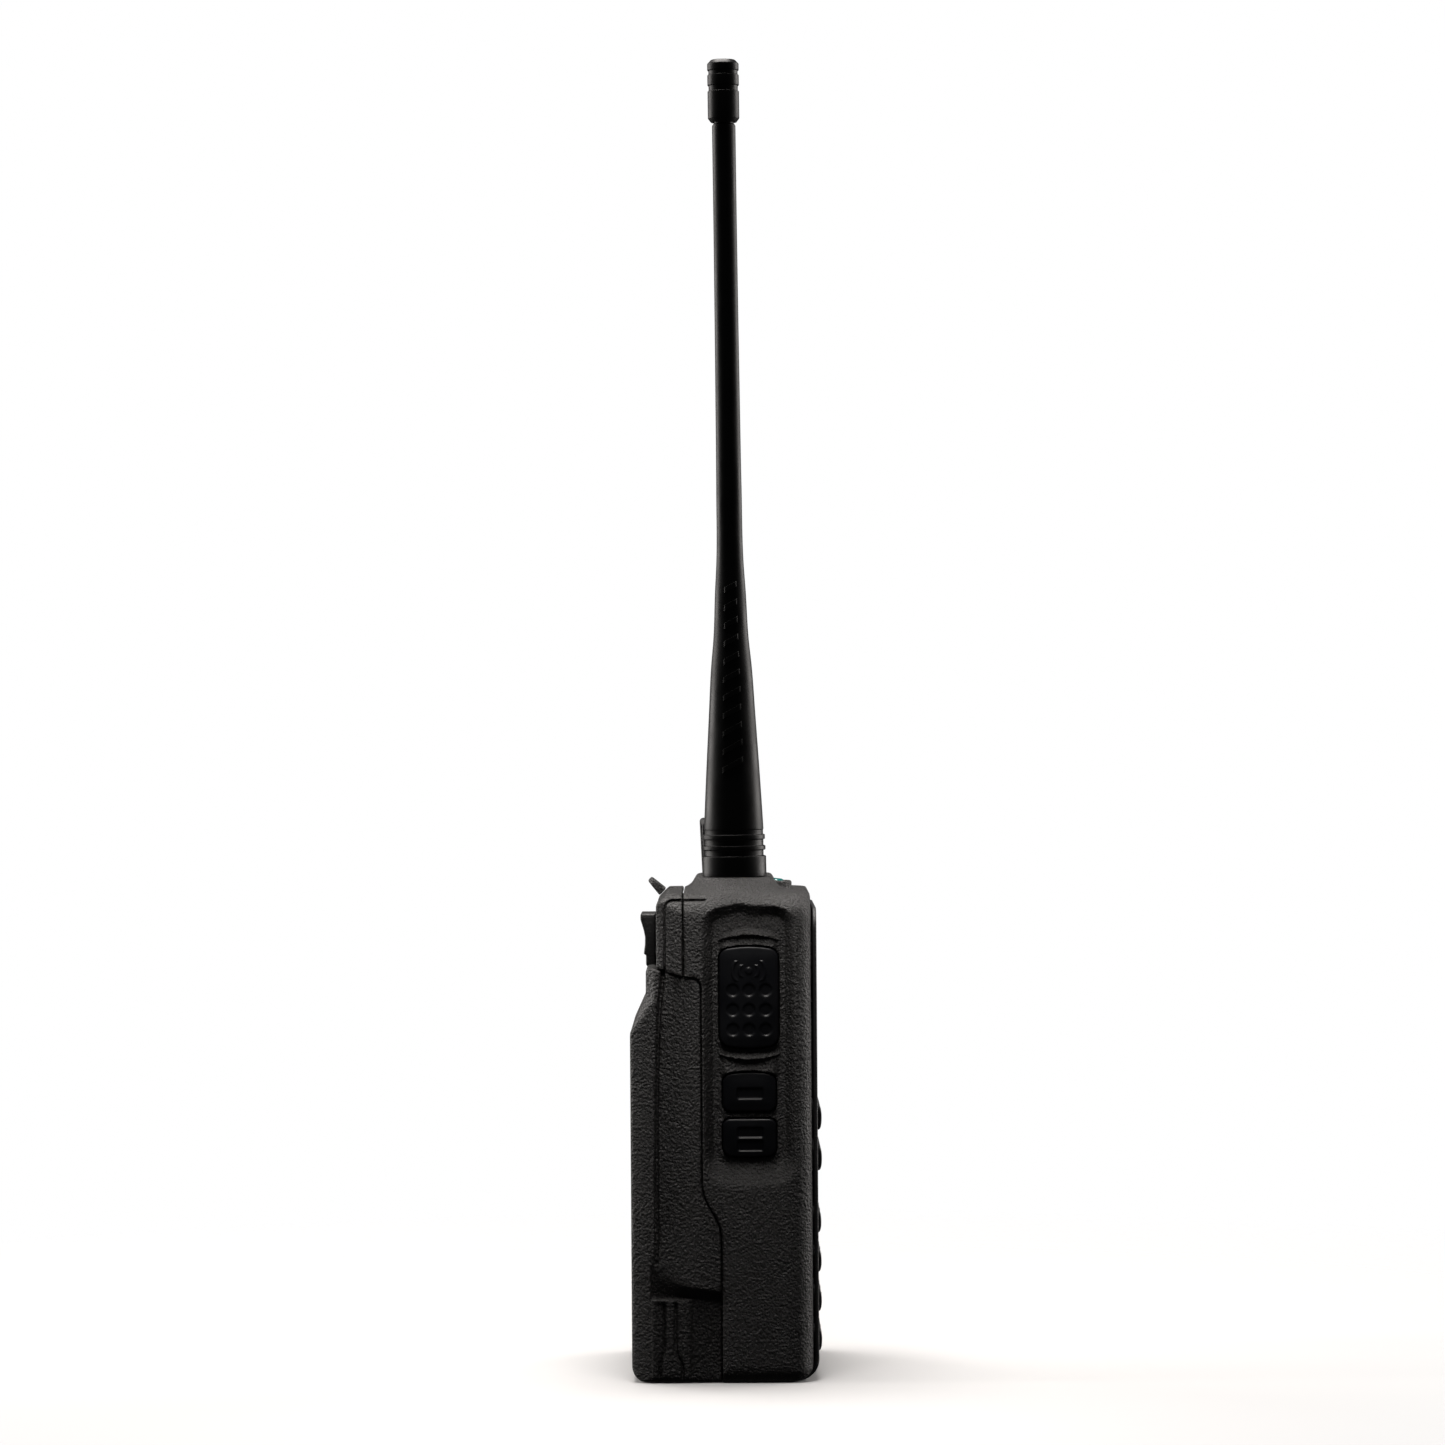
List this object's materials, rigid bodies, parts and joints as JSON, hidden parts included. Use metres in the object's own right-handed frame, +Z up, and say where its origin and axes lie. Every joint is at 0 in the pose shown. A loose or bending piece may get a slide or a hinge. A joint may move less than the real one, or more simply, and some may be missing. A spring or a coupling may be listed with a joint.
{
  "type": "two way radio",
  "caption": "Handheld two way radio with a long tapered whip antenna, clip-on rear battery, side talk button, keypad and volume knob.",
  "frame": {"origin": "centre of the whole radio's box at the foot, on the surface it stands on", "axes": "+Z up along the antenna, -Y out of the keypad, +Y out of the battery's back, -X out of the talk button side"},
  "size_m": [0.06, 0.0428, 0.2965],
  "materials": {
    "body_plastic": "black moulded plastic with a fine leather-like spark grain",
    "battery_plastic": "black moulded plastic with a fine leather-like spark grain",
    "bezel_plastic": "black moulded plastic, finer satin grain",
    "dark_plastic": "dark moulded plastic, satin",
    "button_rubber": "bluish black moulded rubber, smooth satin",
    "key_rubber": "black silicone rubber, satin",
    "knob_rubber": "black rubbery plastic, fine ribs",
    "antenna_rubber": "black flexible rubber, satin with faint handling marks",
    "chassis_metal": "die cast aluminium, fine blasted",
    "steel": "plated steel, satin",
    "brass": "gold plated brass, satin",
    "circuit_board": "green solder mask, satin",
    "lamp_lens": "teal clear-tinted lens, glossy",
    "window": "dark smoked display window, glossy",
    "cell_wrap": "blue grey shrink wrap, glossy"
  },
  "bodies": {
    "radio": {"front_housing": "body_plastic", "front_bezel": "bezel_plastic", "rear_cover": "body_plastic", "chassis": "chassis_metal", "strap_eyelet": "body_plastic", "display_window": "window", "display_module": "dark_plastic", "keypad_mat": "key_rubber", "speaker_basket": "steel", "speaker_cone": "dark_plastic", "microphone": "steel", "main_board": "circuit_board", "shield_can": "steel", "side_key_board": "circuit_board", "volume_switch": "steel", "volume_nut": "steel", "antenna_socket": "brass", "accessory_jack": "dark_plastic", "terminal_block": "dark_plastic", "latch_spring": "steel", "chassis_screw_1": "steel", "chassis_screw_2": "steel", "chassis_screw_3": "steel", "chassis_screw_4": "steel", "lamp_lens": "lamp_lens"},
    "antenna": {"antenna_sheath": "antenna_rubber", "antenna_tip": "antenna_rubber", "antenna_plug": "brass", "antenna_core": "steel"},
    "volume_knob": {"volume_knob": "knob_rubber"},
    "talk_button": {"talk_button": "button_rubber"},
    "side_key_upper": {"side_key_upper": "button_rubber"},
    "side_key_lower": {"side_key_lower": "button_rubber"},
    "battery_latch": {"battery_latch": "body_plastic"},
    "jack_cover": {"jack_cover": "button_rubber"},
    "battery": {"battery_case": "battery_plastic", "battery_lid": "dark_plastic", "battery_cell_left": "cell_wrap", "battery_cell_right": "cell_wrap", "battery_board": "circuit_board"},
    "number_key_01": {"number_key_01": "key_rubber"},
    "number_key_02": {"number_key_02": "key_rubber"},
    "number_key_03": {"number_key_03": "key_rubber"},
    "number_key_04": {"number_key_04": "key_rubber"},
    "number_key_05": {"number_key_05": "key_rubber"},
    "number_key_06": {"number_key_06": "key_rubber"},
    "number_key_07": {"number_key_07": "key_rubber"},
    "number_key_08": {"number_key_08": "key_rubber"},
    "number_key_09": {"number_key_09": "key_rubber"},
    "number_key_10": {"number_key_10": "key_rubber"},
    "number_key_11": {"number_key_11": "key_rubber"},
    "number_key_12": {"number_key_12": "key_rubber"},
    "number_key_13": {"number_key_13": "key_rubber"},
    "number_key_14": {"number_key_14": "key_rubber"},
    "number_key_15": {"number_key_15": "key_rubber"},
    "number_key_16": {"number_key_16": "key_rubber"},
    "function_key_01": {"function_key_01": "key_rubber"},
    "function_key_02": {"function_key_02": "key_rubber"},
    "function_key_03": {"function_key_03": "key_rubber"},
    "function_key_04": {"function_key_04": "key_rubber"}
  },
  "joints": [
    {"name": "antenna_turn", "type": "hinge", "parent": "radio", "child": "antenna", "pos_m": [-0.014, -0.0022, 0.1125], "axis": [0, 0.0073, 1], "range_deg": [0, 1170]},
    {"name": "volume_turn", "type": "hinge", "parent": "radio", "child": "volume_knob", "pos_m": [0.014, -0.001, 0.1104], "axis": [0, 0, -1], "range_deg": [0, 270]},
    {"name": "talk_press", "type": "slide", "parent": "radio", "child": "talk_button", "axis": [1, 0, 0], "range_m": [0, 0.001], "stiffness_N_per_m": 2000, "springref_m": -0.001},
    {"name": "side_upper_press", "type": "slide", "parent": "radio", "child": "side_key_upper", "axis": [1, 0, 0], "range_m": [0, 0.0006], "stiffness_N_per_m": 2500, "springref_m": -0.0006},
    {"name": "side_lower_press", "type": "slide", "parent": "radio", "child": "side_key_lower", "axis": [1, 0, 0], "range_m": [0, 0.0006], "stiffness_N_per_m": 2500, "springref_m": -0.0006},
    {"name": "latch_slide", "type": "slide", "parent": "radio", "child": "battery_latch", "axis": [0, 0, 1], "range_m": [0, 0.0025], "stiffness_N_per_m": 900, "springref_m": -0.0015, "deforming": ["latch_spring"]},
    {"name": "jack_cover_swing", "type": "hinge", "parent": "radio", "child": "jack_cover", "pos_m": [0.02905, 0.0037, 0.09], "axis": [0, 0, 1], "range_deg": [0, 95]},
    {"name": "battery_slide", "type": "slide", "parent": "radio", "child": "battery", "axis": [0, 1, 0], "range_m": [0, 0.025]},
    {"name": "number_press_01", "type": "slide", "parent": "radio", "child": "number_key_01", "axis": [0, 1, 0], "range_m": [0, 0.0005], "stiffness_N_per_m": 2000, "springref_m": -0.0005},
    {"name": "number_press_02", "type": "slide", "parent": "radio", "child": "number_key_02", "axis": [0, 1, 0], "range_m": [0, 0.0005], "stiffness_N_per_m": 2000, "springref_m": -0.0005},
    {"name": "number_press_03", "type": "slide", "parent": "radio", "child": "number_key_03", "axis": [0, 1, 0], "range_m": [0, 0.0005], "stiffness_N_per_m": 2000, "springref_m": -0.0005},
    {"name": "number_press_04", "type": "slide", "parent": "radio", "child": "number_key_04", "axis": [0, 1, 0], "range_m": [0, 0.0005], "stiffness_N_per_m": 2000, "springref_m": -0.0005},
    {"name": "number_press_05", "type": "slide", "parent": "radio", "child": "number_key_05", "axis": [0, 1, 0], "range_m": [0, 0.0005], "stiffness_N_per_m": 2000, "springref_m": -0.0005},
    {"name": "number_press_06", "type": "slide", "parent": "radio", "child": "number_key_06", "axis": [0, 1, 0], "range_m": [0, 0.0005], "stiffness_N_per_m": 2000, "springref_m": -0.0005},
    {"name": "number_press_07", "type": "slide", "parent": "radio", "child": "number_key_07", "axis": [0, 1, 0], "range_m": [0, 0.0005], "stiffness_N_per_m": 2000, "springref_m": -0.0005},
    {"name": "number_press_08", "type": "slide", "parent": "radio", "child": "number_key_08", "axis": [0, 1, 0], "range_m": [0, 0.0005], "stiffness_N_per_m": 2000, "springref_m": -0.0005},
    {"name": "number_press_09", "type": "slide", "parent": "radio", "child": "number_key_09", "axis": [0, 1, 0], "range_m": [0, 0.0005], "stiffness_N_per_m": 2000, "springref_m": -0.0005},
    {"name": "number_press_10", "type": "slide", "parent": "radio", "child": "number_key_10", "axis": [0, 1, 0], "range_m": [0, 0.0005], "stiffness_N_per_m": 2000, "springref_m": -0.0005},
    {"name": "number_press_11", "type": "slide", "parent": "radio", "child": "number_key_11", "axis": [0, 1, 0], "range_m": [0, 0.0005], "stiffness_N_per_m": 2000, "springref_m": -0.0005},
    {"name": "number_press_12", "type": "slide", "parent": "radio", "child": "number_key_12", "axis": [0, 1, 0], "range_m": [0, 0.0005], "stiffness_N_per_m": 2000, "springref_m": -0.0005},
    {"name": "number_press_13", "type": "slide", "parent": "radio", "child": "number_key_13", "axis": [0, 1, 0], "range_m": [0, 0.0005], "stiffness_N_per_m": 2000, "springref_m": -0.0005},
    {"name": "number_press_14", "type": "slide", "parent": "radio", "child": "number_key_14", "axis": [0, 1, 0], "range_m": [0, 0.0005], "stiffness_N_per_m": 2000, "springref_m": -0.0005},
    {"name": "number_press_15", "type": "slide", "parent": "radio", "child": "number_key_15", "axis": [0, 1, 0], "range_m": [0, 0.0005], "stiffness_N_per_m": 2000, "springref_m": -0.0005},
    {"name": "number_press_16", "type": "slide", "parent": "radio", "child": "number_key_16", "axis": [0, 1, 0], "range_m": [0, 0.0005], "stiffness_N_per_m": 2000, "springref_m": -0.0005},
    {"name": "function_press_01", "type": "slide", "parent": "radio", "child": "function_key_01", "axis": [0, 1, 0], "range_m": [0, 0.0005], "stiffness_N_per_m": 2000, "springref_m": -0.0005},
    {"name": "function_press_02", "type": "slide", "parent": "radio", "child": "function_key_02", "axis": [0, 1, 0], "range_m": [0, 0.0005], "stiffness_N_per_m": 2000, "springref_m": -0.0005},
    {"name": "function_press_03", "type": "slide", "parent": "radio", "child": "function_key_03", "axis": [0, 1, 0], "range_m": [0, 0.0005], "stiffness_N_per_m": 2000, "springref_m": -0.0005},
    {"name": "function_press_04", "type": "slide", "parent": "radio", "child": "function_key_04", "axis": [0, 1, 0], "range_m": [0, 0.0005], "stiffness_N_per_m": 2000, "springref_m": -0.0005}
  ]
}
